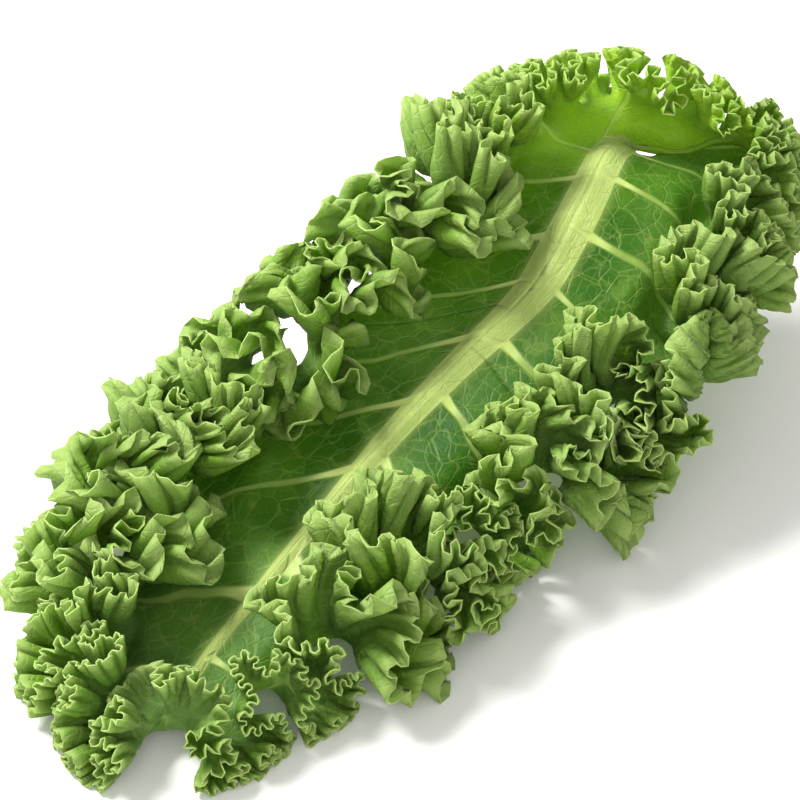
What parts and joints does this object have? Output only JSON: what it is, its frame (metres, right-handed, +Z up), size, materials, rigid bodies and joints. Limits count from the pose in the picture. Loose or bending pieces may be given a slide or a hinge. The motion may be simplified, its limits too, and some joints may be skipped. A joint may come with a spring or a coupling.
{
  "type": "curly kale leaf",
  "caption": "Single curly kale leaf lying face up on its frilled edge, with a pale midrib that bends down into its stalk at one end.",
  "frame": {"origin": "middle of the leaf's footprint, on the surface that it lies on", "axes": "+X along the midrib from the leaf's tip towards its stalk, +Z up out of the upper face"},
  "size_m": [0.3698, 0.1666, 0.1178],
  "materials": {
    "leaf_blade": "waxy green leaf, matt bloom on the upper face, paler yellow-green rim",
    "midrib": "pale yellow-green, smooth and slightly glossy"
  },
  "bodies": {
    "root": {"leaf_blade": "leaf_blade", "midrib": "midrib"}
  },
  "joints": []
}
